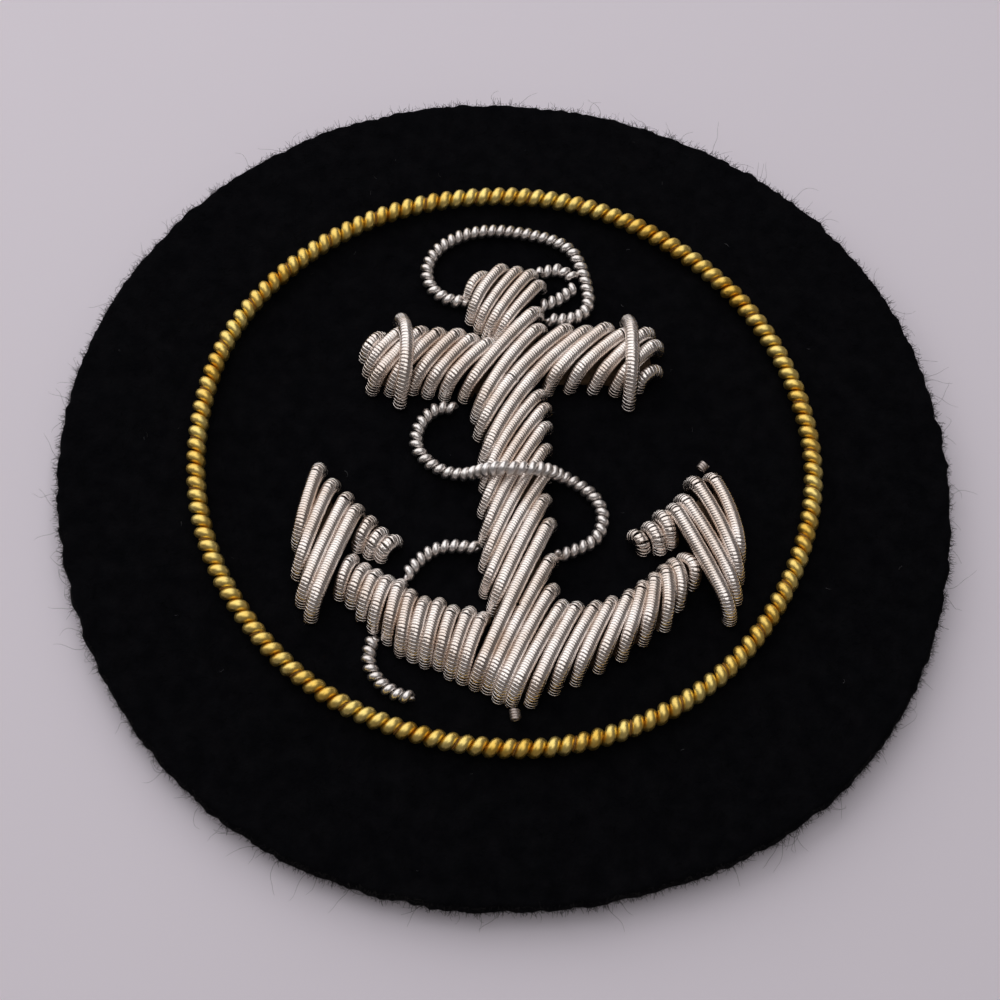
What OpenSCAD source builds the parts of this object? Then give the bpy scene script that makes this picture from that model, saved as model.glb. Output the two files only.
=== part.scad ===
// Embroidered cap badge: a fouled anchor in silver purl inside a gold pearl purl
// border, worked on a hand-cut disc of black cloth over stiffener and lining.
// Frame: origin at the centre of the back face, +Z out of the face,
// +Y towards the anchor's head, +X to the right of the anchor.

/* [Disc] */
// Diameter of the cloth disc
disc_d = 54.2; // [45:0.2:70]
// Thickness of the face cloth
cloth_t = 1.2; // [0.8:0.1:2]
// Thickness of the stiffener under the cloth
stiffener_t = 0.5; // [0.3:0.1:1]
// Thickness of the back lining
lining_t = 0.3; // [0.2:0.1:0.6]
// Distance that the stiffener's edge lies inside the cloth's edge
stiffener_inset = 1.4; // [0.8:0.1:3]
// Distance that the lining's edge lies inside the cloth's edge
lining_inset = 0.8; // [0.5:0.1:2]
// Height of the waves that hand cutting leaves in the outline
cut_wave = 0.15; // [0:0.05:0.4]

/* [Border] */
// Diameter of the border ring, measured to the middle of the purl
border_d = 37.1; // [30:0.1:45]
// Outer diameter of the border's pearl purl
border_purl_d = 1.2; // [0.8:0.05:1.5]
// Sideways place of the ring's centre on the disc
border_x = -0.3; // [-1:0.1:1]
// Upward place of the ring's centre on the disc
border_y = 0.7; // [-1:0.1:1]
// Number of stitches that hold the border down
border_stitches = 36; // [12:2:60]

/* [Anchor] */
// Gap between the border and the farthest reach of the anchor and its rope
anchor_gap = 0.9; // [0.6:0.1:4]
// Outer diameter of the smooth purl on the stock, crown, arms and flukes
broad_purl_d = 0.76; // [0.6:0.01:1]
// Outer diameter of the smooth purl on the head and the shank
fine_purl_d = 0.64; // [0.5:0.02:0.9]
// Free space between one laid purl and the next
purl_gap = 0.04; // [0.02:0.01:0.15]
// Height that a laid purl rises between its two ends
purl_lift = 1; // [0.7:0.05:1.3]
// Outer diameter of the purl in the two stock bands
band_purl_d = 0.88; // [0.5:0.02:0.96]
// Free height between the stock's purls and the bands over them
band_gap = 0.15; // [0.08:0.02:0.4]

/* [Rope] */
// Outer diameter of the rope's pearl purl
rope_d = 0.88; // [0.5:0.02:1]
// Free height between the shank's purls and the rope that crosses them
rope_gap = 0.15; // [0.1:0.01:0.4]
// Length of rope between one holding stitch and the next
rope_stitch_pitch = 3.2; // [2:0.1:6]

/* [Thread] */
// Diameter of the sewing thread
thread_d = 0.14; // [0.1:0.01:0.2]
// Free space left between a piece and what it is laid on
seat_gap = 0.03; // [0.02:0.01:0.06]

/* [Hidden] */
// Heights of the layers
stiffener_z = lining_t;
cloth_z = stiffener_z + stiffener_t;
face_z = cloth_z + cloth_t;

// The anchor is drawn on a grid of its own, with its farthest point this far out
drawn_reach = 17.35;
border_in_r = (border_d - border_purl_d) / 2;
k = (border_in_r - anchor_gap) / drawn_reach;
anchor_at = [border_x, border_y];

// Smoothness of small round pieces, of the disc and the ring, and of the rope
round_fn = 32;
disc_fn = 180;
rope_sides = 8;
rope_step = 0.8;

// The waves of the cut outline: how many go round, their share of the height, their turn
outline_waves = [[4, 1, 161], [5, 0.7, -159]];

// The two felt layers of a padding: thickness as a share of the purls' rise, and
// distance in from the purls' ends as a share of their length
lower_felt = [0.32, 0.28];
upper_felt = [0.26, 0.38];

// Most that a short purl rises as a share of its length, and the rise of a loose cut
short_rise = 0.3;
cut_rise = 0.05;

// Each field of purls is laid between two rails, given in order across the field:
// first the purls' upper right ends, then their lower left ends. A pair of points,
// one from each rail, is a station of the field. The next two values are the
// sideways bow of the field's first and last purl, and the last is the purl
// diameter that the rails are drawn for, so thicker ones are laid farther in.
head_field = [
    [[-1.3, 12.9], [-0.4, 13.2], [0.6, 13.3], [1.4, 13.0], [2.1, 12.2]],
    [[-2.5, 11.1], [-2.3, 9.9], [-2.0, 9.2], [-1.3, 8.7], [-0.6, 8.3]],
    0.3, 0.1, 0.64
];
stock_left_field = [
    [[-7.9, 8.1], [-5.3, 8.3], [-2.7, 8.4], [-1.0, 7.6]],
    [[-8.8, 6.7], [-8.5, 4.4], [-5.7, 4.4], [-3.7, 4.3]],
    0.1, 0.15, 0.76
];
crossing_field = [
    [[1.9, 10.1], [2.3, 9.0], [4.2, 9.0], [5.2, 8.9]],
    [[-2.6, 4.2], [-1.7, 2.8], [-1.5, 1.3], [-1.4, -0.5]],
    0.15, 0.8, 0.76
];
stock_right_field = [
    [[6.3, 9.1], [7.5, 8.9], [9.1, 9.0], [9.4, 7.9], [9.4, 6.4]],
    [[2.55, 4.9], [3.6, 5.0], [5.6, 5.1], [6.8, 5.1], [8.2, 5.3]],
    0.2, 0.1, 0.76
];
shank_field = [
    [[2.2, 4.3], [2.5, 3.4], [2.5, 0.6], [2.6, -1.2]],
    [[-1.3, -2.1], [-1.3, -3.8], [-1.1, -7.3], [-1.1, -9.0]],
    0.35, 0.2, 0.64
];
crown_field = [
    [[2.5, -2.9], [2.7, -4.5], [2.9, -6.5], [3.0, -9.1], [3.65, -9.9], [4.4, -9.95]],
    [[-0.5, -9.9], [-1.63, -14.7], [-1.0, -15.2], [-0.1, -15.7], [0.7, -15.9], [1.7, -16.0]],
    0.1, 0.1, 0.76
];
left_arm_field = [
    [[-9.0, -7.35], [-7.1, -8.5], [-5.2, -9.6], [-1.1, -10.8]],
    [[-9.7, -9.5], [-8.0, -11.3], [-5.7, -13.1], [-2.3, -14.6]],
    0.1, 0.1, 0.76
];
right_arm_field = [
    [[5.5, -9.8], [7.5, -9.0], [8.6, -8.2], [9.6, -7.3], [10.7, -6.25]],
    [[3.1, -15.0], [5.7, -13.5], [7.6, -12.5], [9.6, -10.7], [11.3, -7.75]],
    0.1, -0.3, 0.76
];
left_fluke_field = [
    [[-11.3, -1.7], [-10.3, -2.5], [-9.6, -3.4], [-8.9, -4.3]],
    [[-12.3, -6.2], [-12.2, -8.4], [-12.0, -10.1], [-11.3, -11.0]],
    0.1, 0.1, 0.76
];
left_barb_field = [
    [[-8.0, -4.8], [-7.3, -5.4], [-6.5, -6.0]],
    [[-8.8, -6.35], [-8.1, -6.7], [-7.3, -7.0]],
    0.05, 0.05, 0.76
];
right_fluke_field = [
    [[12.5, -1.1], [11.4, -1.5], [10.6, -2.5], [10.1, -3.3]],
    [[14.1, -6.3], [14.1, -7.6], [13.9, -8.9], [13.5, -10.1]],
    -0.35, -0.1, 0.76
];
right_barb_field = [
    [[9.4, -3.6], [8.6, -4.4], [7.8, -4.9]],
    [[10.1, -5.3], [9.3, -5.8], [8.5, -6.0]],
    -0.05, -0.05, 0.76
];

// Each stock band: upper foot, lower foot, sideways bow
band_left = [[-6.8, 9.35], [-6.6, 3.5], -0.4];
band_right = [[7.55, 9.95], [7.6, 4.0], -0.1];

// The rope's routes along the cloth
top_loop_route = [
    [-3.1, 10.95], [-3.6, 10.95], [-4.6, 11.5], [-5.1, 12.3], [-5.2, 13.3], [-4.7, 14.5],
    [-3.6, 15.5], [-2.2, 16.1], [-0.5, 16.3], [1.3, 16.1], [2.9, 15.7], [4.0, 15.0],
    [4.5, 14.1], [4.8, 13.2], [5.0, 12.2], [5.1, 11.4], [4.9, 10.6], [4.3, 10.1],
    [3.6, 9.9], [2.9, 9.85]
];
shackle_upper_route = [
    [2.3, 13.35], [2.8, 13.5], [3.3, 13.5], [3.8, 13.2]
];
shackle_lower_route = [
    [2.5, 11.0], [3.1, 11.3], [3.6, 11.7], [3.9, 12.0]
];
middle_left_route = [
    [-3.6, 3.2], [-4.1, 3.2], [-4.9, 2.6], [-5.4, 1.7], [-5.5, 0.6], [-5.0, -0.3],
    [-4.1, -1.0], [-3.2, -1.3]
];
middle_over_route = [
    [-2.3, -1.4], [-1.3, -1.55], [-0.4, -1.65], [0.6, -1.7], [1.6, -1.6], [2.5, -1.4], [3.4, -1.3]
];
middle_right_route = [
    [4.3, -1.65], [5.3, -2.4], [5.9, -3.5], [5.8, -4.7], [5.3, -5.5], [4.5, -6.0], [3.6, -6.4]
];
lower_left_route = [
    [-2.0, -6.2], [-3.1, -6.15], [-4.1, -6.4], [-5.0, -7.1], [-5.6, -7.9]
];
tail_route = [
    [-7.7, -12.6], [-7.8, -13.1], [-7.8, -13.8], [-7.5, -14.5], [-6.9, -15.2],
    [-6.1, -15.7], [-5.2, -15.9]
];

// How high the rope climbs at each point of the middle route that is over the shank
over_top = purl_lift + fine_purl_d + rope_gap;
over_rise = [0.14, 0.67, 0.98, 1.05, 0.98, 0.67, 0.14] * over_top;
// Rope diameter that the routes are drawn for; a thicker rope ends farther back
drawn_rope_d = 0.88;

// The cut ends that were left lying, as pairs of end points
loose_cuts = [
    [[0.75, -16.4], [0.85, -17.0]],
    [[12.0, -0.3], [12.3, 0.1]]
];

function lerp(a, b, t) = a + (b - a) * t;
function unit(v) = v / norm(v);
function left_of(v) = [-v[1], v[0]];

// Point of a rail, bow, and top of the purl in plan at station s of a field
function last_station(field) = len(field[0]) - 1;
function rail_at(rail, s) =
    let (i = max(0, min(floor(s), len(rail) - 2)))
    lerp(rail[i], rail[i + 1], s - i) * k;
function bow_at(field, s) = lerp(field[2], field[3], s / last_station(field)) * k;
function top_at(field, s) =
    let (a = rail_at(field[0], s), b = rail_at(field[1], s))
    (a + b) / 2 + left_of(unit(a - b)) * bow_at(field, s);

// Width across the purls from a field's start up to station i, and the station at width w
function width_to(field, i) =
    i == 0 ? 0 : width_to(field, i - 1) + span_width(field, i);
function span_width(field, i) =
    let (run = top_at(field, i) - top_at(field, i - 1))
    let (lie = unit(rail_at(field[0], i - 0.5) - rail_at(field[1], i - 0.5)))
    abs(run[0] * lie[1] - run[1] * lie[0]);
function field_width(field) = width_to(field, last_station(field));
function station_at(field, w) =
    let (spans = [for (i = [1 : last_station(field)]) if (i == 1 || width_to(field, i - 1) < w) i])
    let (i = max(spans))
    i - 1 + (w - width_to(field, i - 1)) / span_width(field, i);

// How far inside the rails a field's edges lie, how many purls of diameter d fill it,
// and the station and ends of purl i
function edge_in(field, d) = (d - field[4] * k) / 2;
function purl_count(field, d) =
    max(2, floor((field_width(field) - 2 * edge_in(field, d)) / (d + purl_gap)) + 1);
function purl_station(field, d, i) =
    let (edge = edge_in(field, d), n = purl_count(field, d))
    station_at(field, lerp(edge, field_width(field) - edge, i / (n - 1)));
function purl_ends(field, d, i) =
    let (s = purl_station(field, d, i), a = rail_at(field[0], s), b = rail_at(field[1], s))
    let (trim = unit(a - b) * edge_in(field, d))
    [a - trim, b + trim];

// Rise of a purl of plan length l, limited on the short ones
function rise(l) = min(purl_lift, short_rise * l);
function purl_length(ends) = norm(ends[0] - ends[1]);
function field_rise(field, d) =
    min([for (i = [0 : purl_count(field, d) - 1]) rise(purl_length(purl_ends(field, d, i)))]);

// A round rod that rises from a to b in one arc, leaning aside by bow
module arch_rod(a, b, d, lift, bow = 0) {
    l = norm(a - b);
    h = norm([lift, bow]);
    r = (l * l / 4 + h * h) / (2 * h);
    half = h < l / 2 ? asin(l / 2 / r) : 180 - asin(l / 2 / r);
    mid = (a + b) / 2;
    way = a - b;
    translate([mid[0], mid[1], face_z + d / 2 + seat_gap])
        rotate([0, 0, atan2(way[1], way[0])])
            rotate([-atan2(bow, lift), 0, 0])
                translate([0, 0, h - r])
                    rotate([90, 0, 0])
                        rotate([0, 0, 90 - half])
                            rotate_extrude(angle = 2 * half, $fn = round_fn)
                                translate([r, 0])
                                    circle(d = d, $fn = round_fn);
}

// All the purls of one field, laid side by side
module purls(field, d) {
    translate(anchor_at)
        for (i = [0 : purl_count(field, d) - 1]) {
            ends = purl_ends(field, d, i);
            bow = bow_at(field, purl_station(field, d, i));
            arch_rod(ends[0], ends[1], d, rise(purl_length(ends)), bow);
        }
}

// A point on the line of purl i's arc in plan, at share t of the way to its lower end
function purl_point(field, d, i, t) =
    let (ends = purl_ends(field, d, i), bow = bow_at(field, purl_station(field, d, i)))
    lerp(ends[0], ends[1], t) + left_of(unit(ends[0] - ends[1])) * bow * 4 * t * (1 - t);

// One layer of padding felt, drawn in from the purls' ends by a share of their length
module padding_layer(field, d, inset, z, t) {
    last = purl_count(field, d) - 1;
    upper = [for (i = [0 : last]) purl_point(field, d, i, inset)];
    lower = [for (i = [last : -1 : 0]) purl_point(field, d, i, 1 - inset)];
    translate([anchor_at[0], anchor_at[1], z])
        linear_extrude(t)
            polygon(concat(upper, lower));
}

// Two felt layers, the upper one smaller, that fill the space under a field's purls
module padding(field, d) {
    lower_t = lower_felt[0] * field_rise(field, d);
    upper_t = upper_felt[0] * field_rise(field, d);
    color([0.75, 0.7, 0.58]) {
        padding_layer(field, d, lower_felt[1], face_z, lower_t);
        padding_layer(field, d, upper_felt[1], face_z + lower_t, upper_t);
    }
}

// A point and a tangent on a smooth curve through a route's points
function route_point(route, i) = route[max(0, min(len(route) - 1, i))];
function smooth(p0, p1, p2, p3, t) =
    0.5 * (2 * p1 + (p2 - p0) * t + (2 * p0 - 5 * p1 + 4 * p2 - p3) * t * t
        + (3 * p1 - p0 - 3 * p2 + p3) * t * t * t);
function on_curve(route, s) =
    let (i = min(floor(s), len(route) - 2))
    smooth(route_point(route, i - 1), route[i], route[i + 1], route_point(route, i + 2), s - i);
function flat(route, rise) = [for (i = [0 : len(route) - 1]) [
    route[i][0] * k,
    route[i][1] * k,
    face_z + rope_d / 2 + seat_gap + (rise == undef ? 0 : rise[i])
]];
function run_length(points, i = 0, sum = 0) =
    i >= len(points) - 1 ? sum : run_length(points, i + 1, sum + norm(points[i + 1] - points[i]));

// Points at even steps of the route's parameter, about step apart
function rope_line(route, rise, step) =
    let (pts = flat(route, rise), last = len(pts) - 1, n = max(3, ceil(run_length(pts) / step)))
    let (back = (rope_d - drawn_rope_d * k) / 2)
    let (from = back / norm(pts[1] - pts[0]), to = last - back / norm(pts[last] - pts[last - 1]))
    [for (i = [0 : n]) on_curve(pts, max(0, lerp(from, to, i / n)))];
function heading(line, i) =
    unit(line[min(len(line) - 1, i + 1)] - line[max(0, i - 1)]);

// A length of rope swept along a route
module rope(route, rise = undef) {
    line = rope_line(route, rise, rope_step);
    n = len(line);
    points = [for (i = [0 : n - 1], j = [0 : rope_sides - 1])
        let (way = heading(line, i), side = unit(cross([0, 0, 1], way)), up = cross(way, side))
        line[i] + (side * cos(j * 360 / rope_sides) + up * sin(j * 360 / rope_sides)) * rope_d / 2];
    walls = [for (i = [0 : n - 2], j = [0 : rope_sides - 1])
        let (a = i * rope_sides + j, b = i * rope_sides + (j + 1) % rope_sides)
        [a, a + rope_sides, b + rope_sides, b]];
    start = [for (j = [0 : rope_sides - 1]) j];
    finish = [for (j = [rope_sides - 1 : -1 : 0]) (n - 1) * rope_sides + j];
    color([0.86, 0.85, 0.84])
        translate(anchor_at)
            polyhedron(points, concat([start], walls, [finish]));
}

// The middle rope, which lies on the cloth at both sides and climbs over the shank
module rope_middle() {
    level = function (route) [for (point = route) 0];
    rope(
        concat(middle_left_route, middle_over_route, middle_right_route),
        concat(level(middle_left_route), over_rise, level(middle_right_route))
    );
}

// A stitch that passes over a purl of diameter d from one side to the other
module stitch_over(d) {
    r = d / 2 + seat_gap + thread_d / 2;
    rotate([90, 0, 0])
        rotate_extrude(angle = 180, $fn = round_fn)
            translate([r, 0])
                circle(d = thread_d, $fn = round_fn);
}

// Stitches along a route that lies on the cloth
module rope_stitches(route) {
    line = rope_line(route, undef, rope_stitch_pitch);
    for (i = [1 : len(line) - 2])
        translate(line[i])
            rotate([0, 0, atan2(heading(line, i)[1], heading(line, i)[0]) + 90])
                stitch_over(rope_d);
}

// Radius of the hand-cut outline at an angle
function wave(a, w) = w[1] * cos(w[0] * a + w[2]);
function outline_r(a) =
    disc_d / 2 + cut_wave * (wave(a, outline_waves[0]) + wave(a, outline_waves[1]));

module back_lining() {
    color([0.1, 0.1, 0.11])
        cylinder(h = lining_t, d = disc_d - 2 * lining_inset, $fn = disc_fn);
}

module stiffener() {
    color([0.3, 0.29, 0.27])
        translate([0, 0, stiffener_z])
            cylinder(h = stiffener_t, d = disc_d - 2 * stiffener_inset, $fn = disc_fn);
}

module face_cloth() {
    color([0.05, 0.05, 0.06])
        translate([0, 0, cloth_z])
            linear_extrude(cloth_t)
                polygon([for (i = [0 : disc_fn - 1])
                    let (a = i * 360 / disc_fn)
                    outline_r(a) * [cos(a), sin(a)]]);
}

module border_purl() {
    color([0.86, 0.66, 0.2])
        translate([border_x, border_y, face_z + border_purl_d / 2 + seat_gap])
            rotate_extrude($fn = disc_fn)
                translate([border_d / 2, 0])
                    circle(d = border_purl_d, $fn = round_fn);
}

module border_stitching() {
    color([0.8, 0.6, 0.15])
        translate([border_x, border_y, face_z + border_purl_d / 2 + seat_gap])
            for (i = [0 : border_stitches - 1])
                rotate([0, 0, i * 360 / border_stitches])
                    translate([border_d / 2, 0, 0])
                        stitch_over(border_purl_d);
}

// One band over the stock, which clears the purls under it
module stock_band(band) {
    lift = purl_lift + broad_purl_d + band_gap;
    color([0.86, 0.85, 0.84])
        translate(anchor_at)
            arch_rod(band[0] * k, band[1] * k, band_purl_d, lift, band[2] * k);
}

module rope_stitching() {
    color([0.8, 0.8, 0.79])
        translate(anchor_at) {
            rope_stitches(top_loop_route);
            rope_stitches(middle_left_route);
            rope_stitches(middle_right_route);
            rope_stitches(lower_left_route);
            rope_stitches(tail_route);
        }
}

module cut_ends() {
    color([0.84, 0.82, 0.8])
        translate(anchor_at)
            for (cut = loose_cuts)
                arch_rod(cut[1] * k, cut[0] * k, fine_purl_d, cut_rise);
}

module silver_purls(field, d) {
    color([0.88, 0.87, 0.86]) purls(field, d);
}

// Paddings
module head_padding() padding(head_field, fine_purl_d);
module stock_left_padding() padding(stock_left_field, broad_purl_d);
module crossing_padding() padding(crossing_field, broad_purl_d);
module stock_right_padding() padding(stock_right_field, broad_purl_d);
module shank_padding() padding(shank_field, fine_purl_d);
module crown_padding() padding(crown_field, broad_purl_d);
module left_arm_padding() padding(left_arm_field, broad_purl_d);
module right_arm_padding() padding(right_arm_field, broad_purl_d);
module left_fluke_padding() padding(left_fluke_field, broad_purl_d);
module right_fluke_padding() padding(right_fluke_field, broad_purl_d);

// Laid purls
module head_purls() silver_purls(head_field, fine_purl_d);
module stock_left_purls() silver_purls(stock_left_field, broad_purl_d);
module crossing_purls() silver_purls(crossing_field, broad_purl_d);
module stock_right_purls() silver_purls(stock_right_field, broad_purl_d);
module shank_purls() silver_purls(shank_field, fine_purl_d);
module crown_purls() silver_purls(crown_field, broad_purl_d);
module left_arm_purls() silver_purls(left_arm_field, broad_purl_d);
module right_arm_purls() silver_purls(right_arm_field, broad_purl_d);
module left_fluke_purls() silver_purls(left_fluke_field, broad_purl_d);
module left_barb_purls() silver_purls(left_barb_field, broad_purl_d);
module right_fluke_purls() silver_purls(right_fluke_field, broad_purl_d);
module right_barb_purls() silver_purls(right_barb_field, broad_purl_d);

// Stock bands
module stock_band_left() stock_band(band_left);
module stock_band_right() stock_band(band_right);

// Rope lengths
module rope_top_loop() rope(top_loop_route);
module rope_shackle_upper() rope(shackle_upper_route);
module rope_shackle_lower() rope(shackle_lower_route);
module rope_lower_left() rope(lower_left_route);
module rope_tail() rope(tail_route);

back_lining();
stiffener();
face_cloth();
border_purl();
border_stitching();
head_padding();
stock_left_padding();
crossing_padding();
stock_right_padding();
shank_padding();
crown_padding();
left_arm_padding();
right_arm_padding();
left_fluke_padding();
right_fluke_padding();
head_purls();
stock_left_purls();
crossing_purls();
stock_right_purls();
shank_purls();
crown_purls();
left_arm_purls();
right_arm_purls();
left_fluke_purls();
left_barb_purls();
right_fluke_purls();
right_barb_purls();
stock_band_left();
stock_band_right();
rope_top_loop();
rope_shackle_upper();
rope_shackle_lower();
rope_middle();
rope_lower_left();
rope_tail();
rope_stitching();
cut_ends();
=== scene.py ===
import math
import bpy
import numpy as np
from mathutils import Matrix, Vector


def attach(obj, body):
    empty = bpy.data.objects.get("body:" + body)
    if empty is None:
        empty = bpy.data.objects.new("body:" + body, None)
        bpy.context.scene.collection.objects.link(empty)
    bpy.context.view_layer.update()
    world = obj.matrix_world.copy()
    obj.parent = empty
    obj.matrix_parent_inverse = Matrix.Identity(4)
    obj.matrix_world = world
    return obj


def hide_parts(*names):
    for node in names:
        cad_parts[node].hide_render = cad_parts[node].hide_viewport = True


# Embroidered cap badge. Lengths are in millimetres up to the point where a mesh
# is made, which turns them into metres. Same frame as the CAD: origin at the
# centre of the back, +Z out of the face, +Y towards the anchor's head.

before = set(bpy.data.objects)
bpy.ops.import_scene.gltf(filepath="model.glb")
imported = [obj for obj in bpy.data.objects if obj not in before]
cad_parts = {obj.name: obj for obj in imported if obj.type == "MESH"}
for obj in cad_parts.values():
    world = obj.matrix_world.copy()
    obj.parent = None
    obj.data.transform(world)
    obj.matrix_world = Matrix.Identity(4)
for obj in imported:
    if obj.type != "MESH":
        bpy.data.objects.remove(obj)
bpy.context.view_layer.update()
MM = 0.001

# ---------------------------------------------------------------- named sizes
disc_d, cut_wave = 54.2, 0.15
outline_waves = [(4, 1.0, 161.0), (5, 0.7, -159.0)]
lining_t, stiffener_t, cloth_t = 0.3, 0.5, 1.2
stiffener_inset, lining_inset = 1.4, 0.8
stiffener_z = lining_t
cloth_z = stiffener_z + stiffener_t
face_z = cloth_z + cloth_t
border_d, border_purl_d = 37.1, 1.2
border_at = np.array([-0.3, 0.7])
anchor_gap, drawn_reach = 0.9, 17.35
k = ((border_d - border_purl_d) / 2 - anchor_gap) / drawn_reach
purl_lift, rope_d, rope_gap = 1.0, 0.88, 0.15
fine_purl_d, broad_purl_d, band_purl_d = 0.64, 0.76, 0.88
purl_gap, band_gap = 0.04, 0.15
over_top = purl_lift + fine_purl_d + rope_gap
over_rise = [over_top * s for s in (0.14, 0.67, 0.98, 1.05, 0.98, 0.67, 0.14)]

# The fields of laid purls: rail of upper right ends, rail of lower left ends,
# sideways bow of the first and of the last purl, diameter the rails are for
FIELDS = {
    "head": ([[-1.3, 12.9], [-0.4, 13.2], [0.6, 13.3], [1.4, 13.0], [2.1, 12.2]],
             [[-2.5, 11.1], [-2.3, 9.9], [-2.0, 9.2], [-1.3, 8.7], [-0.6, 8.3]], 0.3, 0.1, 0.64),
    "stock_left": ([[-7.9, 8.1], [-5.3, 8.3], [-2.7, 8.4], [-1.0, 7.6]],
                   [[-8.8, 6.7], [-8.5, 4.4], [-5.7, 4.4], [-3.7, 4.3]], 0.1, 0.15, 0.76),
    "crossing": ([[1.9, 10.1], [2.3, 9.0], [4.2, 9.0], [5.2, 8.9]],
                 [[-2.6, 4.2], [-1.7, 2.8], [-1.5, 1.3], [-1.4, -0.5]], 0.15, 0.8, 0.76),
    "stock_right": ([[6.3, 9.1], [7.5, 8.9], [9.1, 9.0], [9.4, 7.9], [9.4, 6.4]],
                    [[2.55, 4.9], [3.6, 5.0], [5.6, 5.1], [6.8, 5.1], [8.2, 5.3]],
                    0.2, 0.1, 0.76),
    "shank": ([[2.2, 4.3], [2.5, 3.4], [2.5, 0.6], [2.6, -1.2]],
              [[-1.3, -2.1], [-1.3, -3.8], [-1.1, -7.3], [-1.1, -9.0]], 0.35, 0.2, 0.64),
    "crown": ([[2.5, -2.9], [2.7, -4.5], [2.9, -6.5], [3.0, -9.1], [3.65, -9.9], [4.4, -9.95]],
              [[-0.5, -9.9], [-1.63, -14.7], [-1.0, -15.2], [-0.1, -15.7], [0.7, -15.9],
               [1.7, -16.0]], 0.1, 0.1, 0.76),
    "left_arm": ([[-9.0, -7.35], [-7.1, -8.5], [-5.2, -9.6], [-1.1, -10.8]],
                 [[-9.7, -9.5], [-8.0, -11.3], [-5.7, -13.1], [-2.3, -14.6]], 0.1, 0.1, 0.76),
    "right_arm": ([[5.5, -9.8], [7.5, -9.0], [8.6, -8.2], [9.6, -7.3], [10.7, -6.25]],
                  [[3.1, -15.0], [5.7, -13.5], [7.6, -12.5], [9.6, -10.7], [11.3, -7.75]],
                  0.1, -0.3, 0.76),
    "left_fluke": ([[-11.3, -1.7], [-10.3, -2.5], [-9.6, -3.4], [-8.9, -4.3]],
                   [[-12.3, -6.2], [-12.2, -8.4], [-12.0, -10.1], [-11.3, -11.0]],
                   0.1, 0.1, 0.76),
    "left_barb": ([[-8.0, -4.8], [-7.3, -5.4], [-6.5, -6.0]],
                  [[-8.8, -6.35], [-8.1, -6.7], [-7.3, -7.0]], 0.05, 0.05, 0.76),
    "right_fluke": ([[12.5, -1.1], [11.4, -1.5], [10.6, -2.5], [10.1, -3.3]],
                    [[14.1, -6.3], [14.1, -7.6], [13.9, -8.9], [13.5, -10.1]],
                    -0.35, -0.1, 0.76),
    "right_barb": ([[9.4, -3.6], [8.6, -4.4], [7.8, -4.9]],
                   [[10.1, -5.3], [9.3, -5.8], [8.5, -6.0]], -0.05, -0.05, 0.76),
}
# The stock bands: upper foot, lower foot, sideways bow
BANDS = {
    "stock_band_left": ([-6.8, 9.35], [-6.6, 3.5], -0.4),
    "stock_band_right": ([7.55, 9.95], [7.6, 4.0], -0.1),
}
middle_left = [[-3.6, 3.2], [-4.1, 3.2], [-4.9, 2.6], [-5.4, 1.7], [-5.5, 0.6], [-5.0, -0.3],
               [-4.1, -1.0], [-3.2, -1.3]]
middle_over = [[-2.3, -1.4], [-1.3, -1.55], [-0.4, -1.65], [0.6, -1.7], [1.6, -1.6],
               [2.5, -1.4], [3.4, -1.3]]
middle_right = [[4.3, -1.65], [5.3, -2.4], [5.9, -3.5], [5.8, -4.7], [5.3, -5.5],
                [4.5, -6.0], [3.6, -6.4]]
ROPES = {
    "rope_top_loop": ([[-3.1, 10.95], [-3.6, 10.95], [-4.6, 11.5], [-5.1, 12.3], [-5.2, 13.3],
                       [-4.7, 14.5], [-3.6, 15.5], [-2.2, 16.1], [-0.5, 16.3], [1.3, 16.1],
                       [2.9, 15.7], [4.0, 15.0], [4.5, 14.1], [4.8, 13.2], [5.0, 12.2],
                       [5.1, 11.4], [4.9, 10.6], [4.3, 10.1], [3.6, 9.9], [2.9, 9.85]], None),
    "rope_shackle_upper": ([[2.3, 13.35], [2.8, 13.5], [3.3, 13.5], [3.8, 13.2]], None),
    "rope_shackle_lower": ([[2.5, 11.0], [3.1, 11.3], [3.6, 11.7], [3.9, 12.0]], None),
    "rope_middle": (middle_left + middle_over + middle_right,
                    [0.0] * len(middle_left) + over_rise + [0.0] * len(middle_right)),
    "rope_lower_left": ([[-2.0, -6.2], [-3.1, -6.15], [-4.1, -6.4], [-5.0, -7.1],
                         [-5.6, -7.9]], None),
    "rope_tail": ([[-7.7, -12.6], [-7.8, -13.1], [-7.8, -13.8], [-7.5, -14.5],
                   [-6.9, -15.2], [-6.1, -15.7], [-5.2, -15.9]], None),
}
LOOSE_CUTS = [[[0.75, -16.4], [0.85, -17.0]], [[12.0, -0.3], [12.3, 0.1]]]

# How the purls are wound
HAND = -1                            # the coils climb to the left
gold_wire, rope_wire = 0.68, 0.45    # thickness of the pearl purls' wire
gold_turns = 139
rope_pitch = 0.55
chip_wire = 0.165                    # width of the smooth purls' flattened wire
band_wire = 0.21                     # the same of the two stock bands

# How the purls lie
bend_upper, bend_lower = 0.75, 1.3   # length over which a laid purl's ends turn down
band_bend = 2.3                      # the same of a stock band, at both feet
short_rise = 0.3                     # most that a short purl rises, as a share of its length
tuck = 0.4                           # how far a rope's end runs on under its neighbour
laid_gap = 0.02                      # air between a pearl purl and the cloth

# The stitches, by the thread's diameter and the reach of a stitch in its groove
gold_thread_d, gold_dip = 0.12, 0.48
silver_thread_d, silver_dip = 0.09, 0.46
stitches_border = 36                 # about this many hold the border down
rope_turns_a_stitch = 6

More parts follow.
